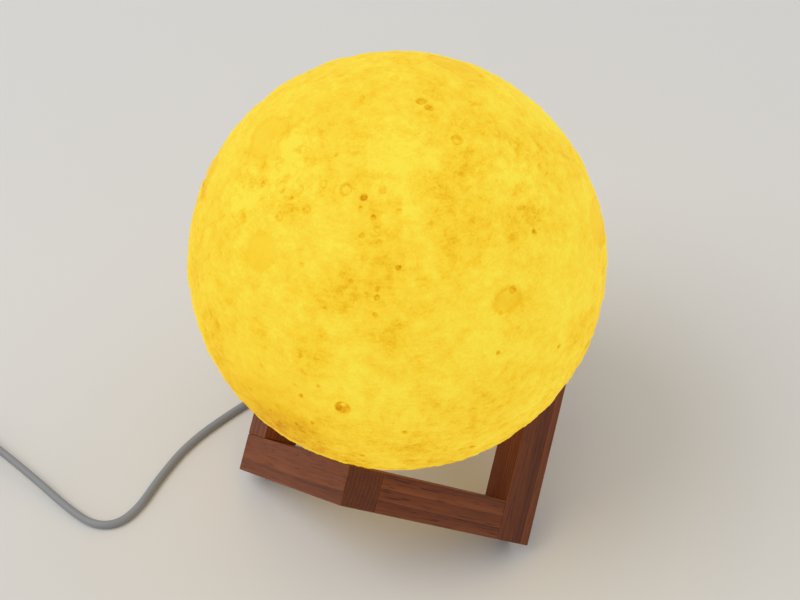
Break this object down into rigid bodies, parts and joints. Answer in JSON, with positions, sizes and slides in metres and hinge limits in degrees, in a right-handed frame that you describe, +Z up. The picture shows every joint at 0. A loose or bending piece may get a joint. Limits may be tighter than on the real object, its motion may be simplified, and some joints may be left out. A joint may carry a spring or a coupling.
{
  "type": "moon lamp",
  "caption": "Glowing moon globe lamp resting in a ring of square wooden bars, with a push button and a charging port underneath and a plugged-in charging cable.",
  "frame": {"origin": "on the table, under the middle of the stand and the globe", "axes": "+Z up; -Y towards the raised corner of the stand that faces the viewer; +X to the right"},
  "size_m": [0.3307, 0.2115, 0.1882],
  "materials": {
    "bar_wood": "oiled reddish-brown hardwood",
    "dowel_wood": "plain beech",
    "globe_print": "layer-printed, translucent, lit from inside",
    "base_plastic": "moulded white",
    "button_plastic": "moulded silver grey",
    "dark_plastic": "moulded black",
    "screw_steel": "zinc plated",
    "board_laminate": "green solder mask",
    "plated_metal": "nickel plated sheet",
    "cell_wrap": "blue shrink sleeve",
    "wire_sleeve": "soft sleeve",
    "board_aluminium": "white-masked aluminium",
    "light_chip": "phosphor resin",
    "frosted_plastic": "frosted",
    "cable_plastic": "soft grey jacket",
    "tie_rubber": "soft black band",
    "plug_insert": "moulded white"
  },
  "bodies": {
    "stand": {"bar_front_left": "bar_wood", "bar_front_right": "bar_wood", "bar_right": "bar_wood", "bar_back_right": "bar_wood", "bar_back_left": "bar_wood", "bar_left": "bar_wood", "glued_dowels": "dowel_wood", "plug_in_dowels": "dowel_wood", "plug_shell": "plated_metal", "plug_grip": "cable_plastic", "plug_boot": "cable_plastic", "cable_run": "cable_plastic", "cable_coil": "cable_plastic", "cable_tail": "cable_plastic", "coil_tie": "tie_rubber", "supply_plug_boot": "cable_plastic", "supply_plug_grip": "cable_plastic", "supply_plug_shell": "plated_metal", "supply_plug_tongue": "plug_insert"},
    "globe": {"moon_globe": "globe_print", "base_cover": "base_plastic", "base_housing": "base_plastic", "cover_screws": "screw_steel", "circuit_board": "board_laminate", "board_components": "dark_plastic", "button_switch": "dark_plastic", "port_socket": "plated_metal", "port_tongue": "dark_plastic", "battery_tube": "base_plastic", "battery_cell": "cell_wrap", "battery_tabs": "plated_metal", "battery_wires": "wire_sleeve", "light_carrier": "base_plastic", "light_board": "board_aluminium", "light_chips": "light_chip", "light_wires": "wire_sleeve", "diffuser_dome": "frosted_plastic"},
    "button": {"push_button": "button_plastic", "switch_plunger": "dark_plastic"}
  },
  "joints": [
    {"name": "globe_lift", "type": "slide", "parent": "stand", "child": "globe", "axis": [0, 0, 1], "range_m": [0, 0.06]},
    {"name": "button_press", "type": "slide", "parent": "globe", "child": "button", "axis": [0, 0, 1], "range_m": [0, 0.001], "stiffness_N_per_m": 1000, "springref_m": -0.0005}
  ]
}
